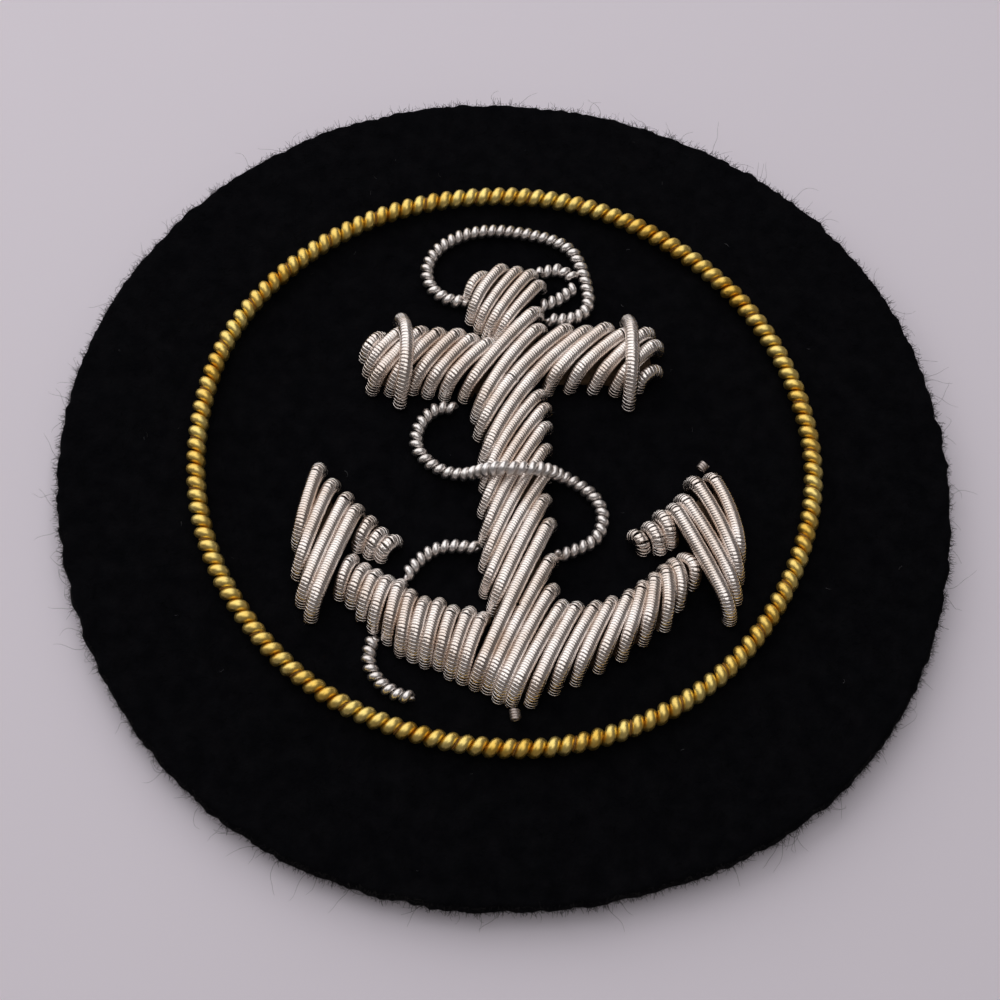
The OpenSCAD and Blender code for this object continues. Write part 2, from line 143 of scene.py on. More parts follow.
# The cloth's edge and the felt
cut_in = 0.06                        # how far the raw edge lies inside the outline
raw_edge = 0.12                      # how ragged it is
edge_round = 0.42                    # radius of its rounding
face_drop = 0.05                     # how far the face lies under its nominal height
felt_in, felt_ramp = 0.12, 0.14      # bare end and slope of a pad, as shares of a purl
felt_side = 0.25                     # height of a pad's sides as a share of its own
felt_steps = 5                       # mesh steps from one purl to the next

# Section of the flattened wire, as radial and axial distances in wire widths
FLAT_WIRE = [(0.25, 0.2), (0.225, 0.39), (0.11, 0.5), (-0.25, 0.5),
             (-0.25, -0.5), (0.11, -0.5), (0.225, -0.39), (0.25, -0.2)]


# ---------------------------------------------------------------- small tools
def lerp(a, b, t):
    return a + (b - a) * t


def unit(v):
    v = np.asarray(v, float)
    return v / np.maximum(np.linalg.norm(v, axis=-1, keepdims=True), 1e-12)


def waves(points, pitch, seed, octaves=3):
    """A smooth seeded noise from -1 to 1 at each of the points (n, 2 or 3)."""
    r = np.random.default_rng(seed)
    total = np.zeros(len(points))
    size = 0.0
    for o in range(octaves):
        for _ in range(7):
            way = unit(r.normal(size=points.shape[1]))
            turn = 2 * math.pi / (pitch / 2 ** o) * r.uniform(0.7, 1.4)
            total += np.sin(points @ way * turn + r.uniform(0, 6.28)) * 0.6 ** o
        size += 0.6 ** o * math.sqrt(7)
    return total / size


def make_mesh(name, verts, quads=(), tris=()):
    """A smooth mesh object from points in millimetres and arrays of faces."""
    quads = np.asarray(quads, np.int64).reshape(-1, 4)
    tris = np.asarray(tris, np.int64).reshape(-1, 3)
    mesh = bpy.data.meshes.new(name)
    mesh.vertices.add(len(verts))
    mesh.vertices.foreach_set("co", (np.asarray(verts, float) * MM).ravel())
    mesh.loops.add(quads.size + tris.size)
    mesh.loops.foreach_set("vertex_index", np.concatenate([quads.ravel(), tris.ravel()]))
    mesh.polygons.add(len(quads) + len(tris))
    starts = np.concatenate([np.arange(len(quads)) * 4, quads.size + np.arange(len(tris)) * 3])
    mesh.polygons.foreach_set("loop_start", starts)
    mesh.update(calc_edges=True)
    mesh.validate()
    mesh.polygons.foreach_set("use_smooth", np.full(len(mesh.polygons), True))
    obj = bpy.data.objects.new(name, mesh)
    bpy.context.scene.collection.objects.link(obj)
    return obj


class Soup:
    """Collects tubes and fibres, and makes them one mesh."""

    def __init__(self):
        self.verts, self.quads, self.tris, self.n = [], [], [], 0

    def add(self, verts, quads, tris=()):
        self.verts.append(verts)
        self.quads.append(quads + self.n)
        if len(tris):
            self.tris.append(tris + self.n)
        self.n += len(verts)

    def tube(self, line, radius, sides=8, across=None, section=None, wide=None):
        """A closed tube round a line. across is the direction of its first
        side; a section is given in diameters, first that way and then the
        other way, and wide stretches it the other way."""
        n = len(line)
        way = unit(np.gradient(line, axis=0))
        if across is None:
            across = np.tile([0.0, 0.0, 1.0], (n, 1))
            near = np.abs(way[:, 2]) > 0.9
            across[near] = [1.0, 0.0, 0.0]
        other = unit(np.cross(way, across))
        across = unit(np.cross(other, way))
        if section is None:
            turn = np.arange(sides) / sides * 2 * math.pi
            shape = np.stack([np.cos(turn), np.sin(turn)], -1)
        else:
            shape = np.array(section) * 2
            sides = len(shape)
        if wide is not None:
            other = other * wide[:, None]
        ring = across[:, None, :] * shape[None, :, :1] + other[:, None, :] * shape[None, :, 1:]
        verts = (line[:, None, :] + ring * radius).reshape(-1, 3)
        i = np.arange(n - 1)[:, None] * sides
        j = np.arange(sides)[None, :]
        j2 = (j + 1) % sides
        quads = np.stack([i + j, i + j2, i + sides + j2, i + sides + j], -1).reshape(-1, 4)
        verts = np.vstack([verts, line[:1], line[-1:]])
        first, last = n * sides, (n - 1) * sides
        s = np.arange(sides)
        s2 = (s + 1) % sides
        tris = np.concatenate([
            np.stack([np.full(sides, first), s2, s], -1),
            np.stack([np.full(sides, first + 1), last + s, last + s2], -1)])
        self.add(verts, quads, tris)

    def make(self, name):
        return make_mesh(name, np.vstack(self.verts), np.vstack(self.quads),
                         np.vstack(self.tris) if self.tris else ())


def measure(line):
    """Distance along a line at each of its points."""
    return np.concatenate([[0.0], np.cumsum(np.linalg.norm(np.diff(line, axis=0), axis=1))])


def even(line, step):
    """The same line with points at even steps."""
    s = measure(line)
    at = np.linspace(0, s[-1], max(4, int(round(s[-1] / step)) + 1))
    return pick(line, s, at)


def frames(line):
    """Sideways and upward directions at each point of a line."""
    way = unit(np.gradient(line, axis=0))
    side = np.cross([0.0, 0.0, 1.0], way)
    flat = np.linalg.norm(side, axis=1) < 0.15
    if flat.any():
        side[flat] = unit(np.cross([0.0, 0.0, 1.0], unit(line[-1] - line[0])))
    side = unit(side)
    return side, unit(np.cross(way, side))


def curvature(line):
    """How sharply a line bends at each of its points."""
    way = unit(np.gradient(line, axis=0))
    return np.linalg.norm(np.gradient(way, measure(line), axis=0), axis=1)


def pick(values, s, at):
    """Rows of values, given at the distances s, read at other distances."""
    return np.stack([np.interp(at, s, values[:, c]) for c in range(3)], -1)


def coil(soup, line, outer, wire, pitch, per_turn=20, sides=8, section=None, start=0.0,
         tight=True, closed=False, wobble=0.0, seed=1):
    """Winds a wire round a line. The turns open a little where the line bends,
    and a flattened wire then shows more of its width."""
    s = measure(line)
    side, up = frames(line)
    r = outer / 2 - wire * (section[0][0] if section else 0.5)
    bend = curvature(line) if tight else np.zeros(len(line))
    local = pitch * (1 + np.minimum(0.25 * r * bend, 0.3))
    turns = np.concatenate([[0.0], np.cumsum(np.diff(s) * 2 / (local[1:] + local[:-1]))])
    total = turns[-1]
    if closed:
        turns *= round(total) / total
        total = round(total)
    n = int(total * per_turn) + 1
    at_turn = np.linspace(0, total, n)
    at = np.interp(at_turn, turns, s)

    phi = HAND * (at_turn * 2 * math.pi) + start
    out = (unit(pick(side, s, at)) * np.cos(phi)[:, None]
           + unit(pick(up, s, at)) * np.sin(phi)[:, None])
    rr = r * np.ones(n)
    if wobble:
        knots = np.random.default_rng(seed).normal(size=max(4, int(total) + 2)) * wobble
        rr = rr * (1 + np.interp(at_turn, np.arange(len(knots)), knots))
    wire_line = pick(line, s, at) + out * rr[:, None]
    wide = 1 + np.interp(at, s, np.minimum(0.6 * r * bend, 0.6)) if section else None
    soup.tube(wire_line, wire / 2, sides, across=out, section=section, wide=wide)


def spline(points, step):
    """A smooth curve through points, even steps apart."""
    p = np.asarray(points, float)
    out = []
    for i in range(len(p) - 1):
        p0, p1, p2, p3 = p[max(0, i - 1)], p[i], p[i + 1], p[min(len(p) - 1, i + 2)]
        for t in np.linspace(0, 1, 12, endpoint=i == len(p) - 2):
            out.append(0.5 * (2 * p1 + (p2 - p0) * t + (2 * p0 - 5 * p1 + 4 * p2 - p3) * t * t
                              + (3 * p1 - p0 - 3 * p2 + p3) * t ** 3))
    return even(np.array(out), step)


# ---------------------------------------------------------------- materials
def material(name):
    mat = bpy.data.materials.new(name)
    mat.use_nodes = True
    tree = mat.node_tree
    return mat, tree, tree.nodes["Principled BSDF"]


def node(tree, kind, inputs=(), **props):
    n = tree.nodes.new(kind)
    for key, value in props.items():
        setattr(n, key, value)
    for key, value in dict(inputs).items():
        n.inputs[key].default_value = value
    return n


def coords(tree, scale):
    """Object coordinates in units of 1/scale metres."""
    tex = tree.nodes.new("ShaderNodeTexCoord")
    mapping = node(tree, "ShaderNodeMapping", {"Scale": (scale, scale, scale)})
    tree.links.new(tex.outputs["Object"], mapping.inputs["Vector"])
    return mapping.outputs["Vector"]


def noise(tree, vector, scale, detail=3.0, rough=0.55):
    n = node(tree, "ShaderNodeTexNoise", {"Scale": scale, "Detail": detail, "Roughness": rough})
    tree.links.new(vector, n.inputs["Vector"])
    return n.outputs["Fac"]


def ramp(tree, fac, stops):
    n = tree.nodes.new("ShaderNodeValToRGB")
    while len(n.color_ramp.elements) < len(stops):
        n.color_ramp.elements.new(0.5)
    for e, (at, col) in zip(n.color_ramp.elements, stops):
        e.position = at
        e.color = (*col, 1.0)
    tree.links.new(fac, n.inputs["Fac"])
    return n.outputs["Color"]


def spread(tree, fac, low, high):
    n = node(tree, "ShaderNodeMapRange", {"From Min": 0.3, "From Max": 0.7,
                                          "To Min": low, "To Max": high})
    tree.links.new(fac, n.inputs["Value"])
    return n.outputs["Result"]


def bump(tree, height, shader, strength, distance):
    n = node(tree, "ShaderNodeBump", {"Strength": strength, "Distance": distance})
    tree.links.new(height, n.inputs["Height"])
    tree.links.new(n.outputs["Normal"], shader.inputs["Normal"])


def metal(name, pale, deep, rough_low, rough_high, grain):
    """Drawn wire: clean metal with dulled patches and fine draw lines."""
    mat, tree, bsdf = material(name)
    vec = coords(tree, 1000.0)
    patch = noise(tree, vec, 0.45, 3.0)
    fine = noise(tree, vec, 7.0, 2.0)
    colour = ramp(tree, patch, [(0.35, deep), (0.62, pale)])
    tree.links.new(colour, bsdf.inputs["Base Color"])
    tree.links.new(spread(tree, fine, rough_low, rough_high), bsdf.inputs["Roughness"])
    bsdf.inputs["Metallic"].default_value = 1.0
    bump(tree, fine, bsdf, grain, 0.00002)
    return mat


def thread_material(name, colour, deep):
    mat, tree, bsdf = material(name)
    vec = coords(tree, 1000.0)
    twist = noise(tree, vec, 9.0, 2.0)
    tree.links.new(ramp(tree, twist, [(0.35, deep), (0.65, colour)]), bsdf.inputs["Base Color"])
    bsdf.inputs["Roughness"].default_value = 0.55
    bump(tree, twist, bsdf, 0.5, 0.00003)
    return mat


def cloth_material(name, low, high, sheen):
    """Milled wool cloth: matt, with a faint mottle of its felted fibres."""
    mat, tree, bsdf = material(name)
    vec = coords(tree, 1000.0)
    mottle = noise(tree, vec, 0.9, 5.0, 0.65)
    fibres = noise(tree, vec, 6.0, 4.0, 0.7)
    tree.links.new(ramp(tree, mottle, [(0.35, low), (0.7, high)]), bsdf.inputs["Base Color"])
    bsdf.inputs["Roughness"].default_value = 0.95
    bsdf.inputs["Specular IOR Level"].default_value = 0.02
    bsdf.inputs["Sheen Weight"].default_value = sheen
    bsdf.inputs["Sheen Roughness"].default_value = 0.6
    bsdf.inputs["Sheen Tint"].default_value = (0.75, 0.8, 1.0, 1.0)
    bump(tree, fibres, bsdf, 0.9, 0.00008)
    return mat


def woven_material(name, low, high, pitch_mm, rough):
    """Plain weave that goes with the woven relief of the lining and stiffener."""
    mat, tree, bsdf = material(name)
    vec = coords(tree, 1000.0)
    mix = node(tree, "ShaderNodeMath", operation="MAXIMUM")
    look = {"Scale": 0.5 / pitch_mm * 0.628, "Distortion": 0.6, "Detail": 2.0}
    for i, way in enumerate("XY"):
        wave = node(tree, "ShaderNodeTexWave", look, bands_direction=way)
        tree.links.new(vec, wave.inputs["Vector"])
        tree.links.new(wave.outputs["Fac"], mix.inputs[i])
    tree.links.new(ramp(tree, mix.outputs[0], [(0.3, low), (0.95, high)]),
                   bsdf.inputs["Base Color"])
    bsdf.inputs["Roughness"].default_value = rough
    bump(tree, mix.outputs[0], bsdf, 0.7, 0.0001)
    return mat


def felt_material(name, low, high):
    mat, tree, bsdf = material(name)
    vec = coords(tree, 1000.0)
    fibres = noise(tree, vec, 3.5, 4.0, 0.7)
    tree.links.new(ramp(tree, fibres, [(0.35, low), (0.65, high)]), bsdf.inputs["Base Color"])
    bsdf.inputs["Roughness"].default_value = 0.9
    bump(tree, fibres, bsdf, 0.8, 0.0001)
    return mat


silver = metal("silver_purl", (0.95, 0.89, 0.855), (0.78, 0.68, 0.61), 0.15, 0.24, 0.2)
rope_silver = metal("rope_purl", (0.95, 0.92, 0.905), (0.84, 0.79, 0.765), 0.28, 0.40, 0.2)
gold = metal("gold_purl", (1.0, 0.79, 0.27), (0.86, 0.55, 0.10), 0.33, 0.46, 0.3)
dull_silver = metal("dull_purl", (0.55, 0.49, 0.46), (0.40, 0.34, 0.31), 0.38, 0.50, 0.3)
gold_thread = thread_material("gold_thread", (0.30, 0.15, 0.02), (0.12, 0.05, 0.008))
silver_thread = thread_material("silver_thread", (0.40, 0.38, 0.36), (0.18, 0.17, 0.16))
wool = cloth_material("black_cloth", (0.0022, 0.0022, 0.0031), (0.0048, 0.0047, 0.0058), 0.004)
wool_hair = cloth_material("black_cloth_fibre", (0.010, 0.009, 0.009), (0.022, 0.020, 0.019),
                           0.02)
lint = felt_material("lint", (0.05, 0.05, 0.055), (0.12, 0.12, 0.13))
buckram = woven_material("stiffener_weave", (0.05, 0.045, 0.04), (0.16, 0.15, 0.13), 0.7, 0.9)
cotton = woven_material("lining_weave", (0.006, 0.006, 0.007), (0.025, 0.025, 0.028), 0.5, 0.85)
felt = felt_material("padding_felt", (0.06, 0.035, 0.018), (0.17, 0.10, 0.05))


def dress(obj, mat, slot, *nodes):
    obj.data.materials.append(mat)
    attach(obj, "root")
    if nodes:
        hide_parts(*nodes)
    return obj


# ---------------------------------------------------------------- the cloth disc
def outline_r(a):
    """Radius of the cut outline at each angle."""
    deg = np.degrees(a)
    return disc_d / 2 + cut_wave * sum(
        w * np.cos(np.radians(n * deg + turn)) for n, w, turn in outline_waves)


def raw_edge_r(a):
    """Radius of the cloth's ragged edge at each angle."""
    circle = np.stack([np.cos(a), np.sin(a)], -1) * disc_d / 2
    return outline_r(a) - cut_in + raw_edge * waves(circle, 2.2, 3, 4)


def cloth_lift(x, y):
    """Height of the face over its mean: felt mottle, and dips where sewn."""
    p = np.stack([x, y], -1)
    z = 0.022 * waves(p, 2.6, 11, 4) + 0.05 * waves(p, 14.0, 12, 2)
    from_ring = np.hypot(x - border_at[0], y - border_at[1]) - border_d / 2
    z -= 0.10 * np.exp(-(from_ring / 0.75) ** 2)
    return z


def face_cloth():
    around = 720
    under_z = cloth_z + 0.02
    a = np.arange(around) / around * 2 * math.pi
    edge = raw_edge_r(a)
    rows = []
    for t in np.linspace(0.0, 1.0, 62)[1:]:              # face, from the centre out
        r = t * (edge - edge_round)
        x, y = r * np.cos(a), r * np.sin(a)
        rows.append(np.stack([x, y, face_z + cloth_lift(x, y) - face_drop], -1))
    for i in range(1, 13):                               # round the raw edge
        u = i / 12 * math.pi
        out = math.sin(u) ** 0.6 * edge_round
        height = np.sign(math.cos(u)) * abs(math.cos(u)) ** 0.7
        z = cloth_z + cloth_t / 2 + (cloth_t / 2 - 0.03) * height
        r = edge - edge_round + out
        x, y = r * np.cos(a), r * np.sin(a)
        ragged = 0.07 * waves(np.stack([x, y, np.full_like(x, z * 3)], -1), 0.9, 5, 3)
        r = r + ragged * math.sin(u)
        lift = cloth_lift(x, y) * max(0.0, math.cos(u))
        rows.append(np.stack([r * np.cos(a), r * np.sin(a), z + lift + np.zeros_like(a)], -1))
    for t in np.linspace(1.0, 0.0, 22)[1:-1]:            # underside
        r = t * (edge - edge_round)
        rows.append(np.stack([r * np.cos(a), r * np.sin(a), np.full_like(a, under_z)], -1))
    verts = np.concatenate(rows)
    n = len(rows)
    i = np.arange(n - 1)[:, None] * around
    j = np.arange(around)[None, :]
    j2 = (j + 1) % around
    quads = np.stack([i + j, i + around + j, i + around + j2, i + j2], -1).reshape(-1, 4)
    top, bottom = len(verts), len(verts) + 1
    verts = np.vstack([verts, [0, 0, face_z - face_drop], [0, 0, under_z]])
    s = np.arange(around)
    s2 = (s + 1) % around
    last = (n - 1) * around
    tris = np.concatenate([np.stack([np.full(around, top), s, s2], -1),
                           np.stack([np.full(around, bottom), last + s2, last + s], -1)])
    obj = dress(make_mesh("cloth_disc", verts, quads, tris), wool, "black_cloth", "face_cloth")


def strands(soup, r, roots, ways, lengths, thick, curl, steps, droop=0.0):
    """Many fibres at once. Each sets out along its way and bends as it goes."""
    way = unit(ways)
    n = len(roots)
    sides = 3
    pts = [roots]
    turn = r.normal(size=(n, 3)) * curl
    for _ in range(steps):
        turn = turn * 0.8 + r.normal(size=(n, 3)) * curl * 0.5
        way = unit(way + turn / steps + np.array([0, 0, -droop / steps]))
        pts.append(pts[-1] + way * (lengths / steps)[:, None])
    line = np.stack(pts, 1)
    way = unit(np.gradient(line, axis=1))
    across = unit(np.cross(way, np.array([0.31, 0.17, 0.93])))
    other = np.cross(way, across)
    taper = np.linspace(1.0, 0.45, steps + 1)[None, :] * (thick / 2).reshape(-1, 1)
    turn = np.arange(sides) / sides * 2 * math.pi
    ring = (across[:, :, None, :] * np.cos(turn)[:, None] + other[:, :, None, :]
            * np.sin(turn)[:, None])
    verts = line[:, :, None, :] + ring * taper[:, :, None, None]
    verts[..., 2] = np.maximum(verts[..., 2], 0.03)      # clear of the floor
    h = np.arange(n)[:, None, None] * (steps + 1) * sides
    i = np.arange(steps)[None, :, None] * sides
    j = np.arange(sides)[None, None, :]
    j2 = (j + 1) % sides
    quads = np.stack([h + i + j, h + i + j2, h + i + sides + j2, h + i + sides + j], -1)
    soup.add(verts.reshape(-1, 3), quads.reshape(-1, 4))


def rim_points(r, n, inset, low, high):
    """Random places on the raw edge, and the outward way at each."""
    a = r.uniform(0, 2 * math.pi, n)
    edge = raw_edge_r(a) - inset
    z = cloth_z + cloth_t * r.uniform(low, high, n)
    out = np.stack([np.cos(a), np.sin(a), np.zeros(n)], -1)
    return np.column_stack([edge * np.cos(a), edge * np.sin(a), z]), out, a


def face_points(r, n, inset, lift):
    """Random places on the face of the cloth."""
    a = r.uniform(0, 2 * math.pi, n)
    rad = (disc_d / 2 - inset) * np.sqrt(r.random(n))
    x, y = rad * np.cos(a), rad * np.sin(a)
    return np.column_stack([x, y, face_z + lift + cloth_lift(x, y)])


def rim_fibres():
    """The short fuzz of the raw edge."""
    r = np.random.default_rng(21)
    soup = Soup()
    n = 8500
    roots, out, _ = rim_points(r, n, 0.1, 0.12, 0.98)
    strands(soup, r, roots, out + r.normal(size=(n, 3)) * 0.6, r.uniform(0.16, 0.55, n),
            np.full(n, 0.028), 1.0, 3)
    return dress(soup.make("cloth_edge_fibres"), wool_hair, "black_cloth")


def long_fibres():
    """The few long hairs that stand out from the edge."""
    r = np.random.default_rng(22)
    soup = Soup()
    n = 330
    roots, out, a = rim_points(r, n, 0.04, 0.25, 0.98)
    side = np.stack([-np.sin(a), np.cos(a), np.zeros(n)], -1) * r.normal(size=(n, 1)) * 0.9
    rise = np.stack([np.zeros(n), np.zeros(n), 0.25 * r.normal(size=n)], -1)
    strands(soup, r, roots, out + side + rise, 0.5 + 1.9 * r.random(n) ** 2, np.full(n, 0.021),
            2.4, 12, droop=0.25)
    return dress(soup.make("cloth_long_fibres"), wool_hair, "black_cloth")


def nap_fibres():
    """The nap that lies on the face."""
    r = np.random.default_rng(23)
    soup = Soup()
    n = 9000
    b = r.uniform(0, 2 * math.pi, n)
    ways = np.stack([np.cos(b), np.sin(b), r.uniform(-0.05, 0.16, n)], -1)
    strands(soup, r, face_points(r, n, 0.7, -0.06), ways, r.uniform(0.25, 0.8, n),
            np.full(n, 0.02), 0.9, 2)
    return dress(soup.make("cloth_nap"), wool, "black_cloth")


def lint_specks():
    """A few pale fibres and specks that cling to the cloth."""
    r = np.random.default_rng(29)
    soup = Soup()
    n = 46
    b = r.uniform(0, 2 * math.pi, n)
    ways = np.stack([np.cos(b), np.sin(b), np.zeros(n)], -1)
    strands(soup, r, face_points(r, n, 1.5, 0.03), ways, r.uniform(0.1, 0.5, n),
            r.uniform(0.012, 0.03, n), 1.5, 5)
    return dress(soup.make("cloth_lint"), lint, "black_cloth")


# ---------------------------------------------------------------- backing layers
def woven_disc(name, radius, z0, z1, pitch, relief, mat, slot, cad, frayed):
    """A cut disc of woven cloth: both faces have the weave in relief."""
    n = int(2 * radius / pitch * 2) + 1
    xs = (np.arange(n) - (n - 1) / 2) * pitch / 2
    x, y = np.meshgrid(xs, xs)
    weave = np.sin(x / pitch * math.pi + math.pi / 4) * np.sin(y / pitch * math.pi + math.pi / 4)
    flat = np.stack([x.ravel(), y.ravel()], -1)
    swell = 0.02 * waves(flat, 9.0, 31, 2).reshape(x.shape)
    ang = np.arctan2(y, x)
    rr = np.hypot(x, y)
    edge = radius - 0.05 + frayed * waves(
        np.stack([np.cos(ang.ravel()), np.sin(ang.ravel())], -1) * radius, 1.4, 33, 3
    ).reshape(x.shape)
    inside = rr < edge
    near = (rr < edge + pitch * 0.75) & ~inside
    scale = np.where(near, edge / np.maximum(rr, 1e-6), 1.0)
    keep = inside | near
    px, py = x * scale, y * scale
    mid = (z0 + z1) / 2
    half = (z1 - z0) / 2 - relief
    index = -np.ones(x.shape, int)
    index[keep] = np.arange(keep.sum())
    m = int(keep.sum())
    top = np.stack([px, py, mid + half + relief * weave], -1)[keep]
    low = np.stack([px, py, mid - half - relief * weave + np.abs(swell) * 0.2], -1)[keep]
    low[:, 2] = np.maximum(low[:, 2], z0)
    cell = keep[:-1, :-1] & keep[1:, :-1] & keep[:-1, 1:] & keep[1:, 1:]
    a, b = index[:-1, :-1][cell], index[:-1, 1:][cell]
    c, d = index[1:, 1:][cell], index[1:, :-1][cell]
    up = np.stack([a, b, c, d], -1)
    down = np.stack([d, c, b, a], -1) + m
    edges = {}
    for q in up:
        for s in range(4):
            e = (q[s], q[(s + 1) % 4])
            if edges.pop((e[1], e[0]), None) is None:
                edges[e] = True
    wall = np.array([[b, a, a + m, b + m] for a, b in edges])
    verts = np.vstack([top, low])
    used = np.unique(np.concatenate([up.ravel(), down.ravel()]))
    remap = -np.ones(len(verts), int)
    remap[used] = np.arange(len(used))
    quads = remap[np.vstack([up, down, wall])]
    return dress(make_mesh(name, verts[used], quads), mat, slot, cad)


def backing():
    stiff = woven_disc("stiffener_disc", disc_d / 2 - stiffener_inset, stiffener_z + 0.01,
                       cloth_z - 0.005, 0.7, 0.05, buckram, "stiffener", "stiffener", 0.04)
    lining = woven_disc("lining_disc", disc_d / 2 - lining_inset, 0.0, lining_t - 0.005, 0.5,
                        0.035, cotton, "lining", "back_lining", 0.06)


# ---------------------------------------------------------------- gold border
def border_line():
    """Centreline of the ring, which wanders a little as hand work does."""
    a = np.linspace(0, 2 * math.pi, 1440)
    wander = 0.05 * (np.sin(5 * a + 1.0) + 0.6 * np.sin(9 * a + 2.2))
    r = border_d / 2 + wander
    z = face_z + border_purl_d / 2 + laid_gap
    return np.stack([border_at[0] + r * np.cos(a), border_at[1] + r * np.sin(a),
                     np.full_like(a, z)], -1)


def border_purl():
    soup = Soup()
    line = border_line()
    coil(soup, line, border_purl_d, gold_wire, measure(line)[-1] / gold_turns, 22, 12,
         tight=False, closed=True, wobble=0.03, seed=41)
    return dress(soup.make("border_pearl_purl"), gold, "gold_purl", "border_purl")


def couching(soup, line, turns, outer, every, thread, dip, first):
    """Stitches that pass over a coil in the grooves between its turns."""
    s = measure(line)
    side, up = frames(line)
    for i in range(first, int(turns), every):
        t = np.linspace(-0.5, 0.5, 13)
        at = (i + t * 0.5 + 0.25) / turns * s[-1]
        if at[0] < 0 or at[-1] > s[-1]:
            continue
        ang = HAND * t * math.pi + math.pi / 2
        r = outer / 2 * (dip + 0.2 * np.abs(2 * t) ** 3)
        out = pick(side, s, at) * np.cos(ang)[:, None] + pick(up, s, at) * np.sin(ang)[:, None]
        soup.tube(pick(line, s, at) + out * r[:, None], thread / 2, 6)


def border_stitches():
    soup = Soup()
    every = max(2, round(gold_turns / stitches_border))
    couching(soup, border_line(), gold_turns, border_purl_d, every, gold_thread_d, gold_dip, 1)
    return dress(soup.make("border_couching"), gold_thread, "gold_thread", "border_stitching")


# ---------------------------------------------------------------- laid purls
def rail_at(rail, s):
    """The point of a rail at station s, in millimetres on the cloth."""
    i = int(max(0, min(math.floor(s), len(rail) - 2)))
    return lerp(np.array(rail[i]), np.array(rail[i + 1]), s - i) * k


def breadth(v, lie):
    """How far v reaches across the direction lie."""
    return abs(v[0] * lie[1] - v[1] * lie[0])


def purl_rows(field, d):
    """Plan ends and bow of each purl of a field, laid as the CAD lays them, and
    their spacing."""
    upper, lower, bow_first, bow_last, drawn = field
    last = len(upper) - 1
    edge = (d - drawn * k) / 2

    def bow(s):
        return lerp(bow_first, bow_last, s / last) * k

    def top(s):
        a, b = rail_at(upper, s), rail_at(lower, s)
        w = unit(a - b)
        return (a + b) / 2 + np.array([-w[1], w[0]]) * bow(s)

    reach = [0.0]
    for i in range(1, last + 1):
        lie = unit(rail_at(upper, i - 0.5) - rail_at(lower, i - 0.5))
        reach.append(reach[-1] + breadth(top(i) - top(i - 1), lie))

    def station(w):
        i = max(j for j in range(1, last + 1) if j == 1 or reach[j - 1] < w)
        return i - 1 + (w - reach[i - 1]) / (reach[i] - reach[i - 1])

    inner = reach[-1] - 2 * edge
    count = max(2, int(inner / (d + purl_gap)) + 1)
    rows = []
    for i in range(count):
        s = station(edge + inner * i / (count - 1))
        a, b = rail_at(upper, s), rail_at(lower, s)
        trim = unit(a - b) * edge
        rows.append((a - trim, b + trim, bow(s)))
    return rows, inner / (count - 1)


def bowed(a, b, bow, t):
    """Plan points at the shares t of the way from a to b, bowed sideways."""
    way = unit(a - b)
    left = np.array([-way[1], way[0]])
    return lerp(a[None, :], b[None, :], t[:, None]) + left * (bow * 4 * t * (1 - t))[:, None]


def laid_line(a, b, bow, d, lift, bends, step=0.05, crown=0.12, z_end=0.10):
    """Centreline of a laid purl: near straight over its padding, and turned
    down into the cloth at both ends."""
    length = np.linalg.norm(a - b)
    bends = np.minimum(bends, length * 0.42)
    t = 0.5 - 0.5 * np.cos(np.linspace(0, math.pi, max(24, int(length / step))))
    plan = bowed(a, b, bow, t)
    turn = np.clip(np.minimum(t / bends[0], (1 - t) / bends[1]) * length, 0, 1)
    arc = np.sqrt(np.maximum(0.0, 1 - (1 - turn) ** 2))
    low = face_z + z_end
    high = face_z + d / 2 + lift * (1 - crown + crown * 4 * t * (1 - t))
    z = low + (high - low) * arc
    line = np.column_stack([plan[:, 0] + border_at[0], plan[:, 1] + border_at[1], z])
    return even(line, step)


def laid_purls(name, cad, field, d, seed, joints=()):
    """One field of purls, each a little off its mark as hand work is."""
    r = np.random.default_rng(seed)
    rows, gap = purl_rows(field, d)
    outer = float(np.clip(gap * 1.02, d * 0.98, d * 1.2))
    soup = Soup()
    for i, (a, b, bow) in enumerate(rows):
        way = unit(a - b)
        left = np.array([-way[1], way[0]])
        a = a + way * r.normal() * 0.09 + left * r.normal() * 0.03
        b = b - way * r.normal() * 0.09 + left * r.normal() * 0.03
        length = np.linalg.norm(a - b)
        lift = min(purl_lift, short_rise * length) + r.normal() * 0.035
        size = outer * (1 + r.normal() * 0.012)
        bends = np.array([bend_upper, bend_lower]) * r.uniform(0.85, 1.15)
        line = laid_line(a, b, bow, size, lift, bends)
        start = r.uniform(0, 6.28)
        if i in joints:                                  # two lengths laid end to end
            cut = int(len(line) * r.uniform(0.35, 0.65))
            parts = [line[:cut], line[cut:]]
        else:
            parts = [line]
        for p in parts:
            coil(soup, p, size, chip_wire, chip_wire * 0.99, 14, section=FLAT_WIRE,
                 start=start, wobble=0.012, seed=seed * 31 + i)
    return dress(soup.make(name), silver, "silver_purl", cad)


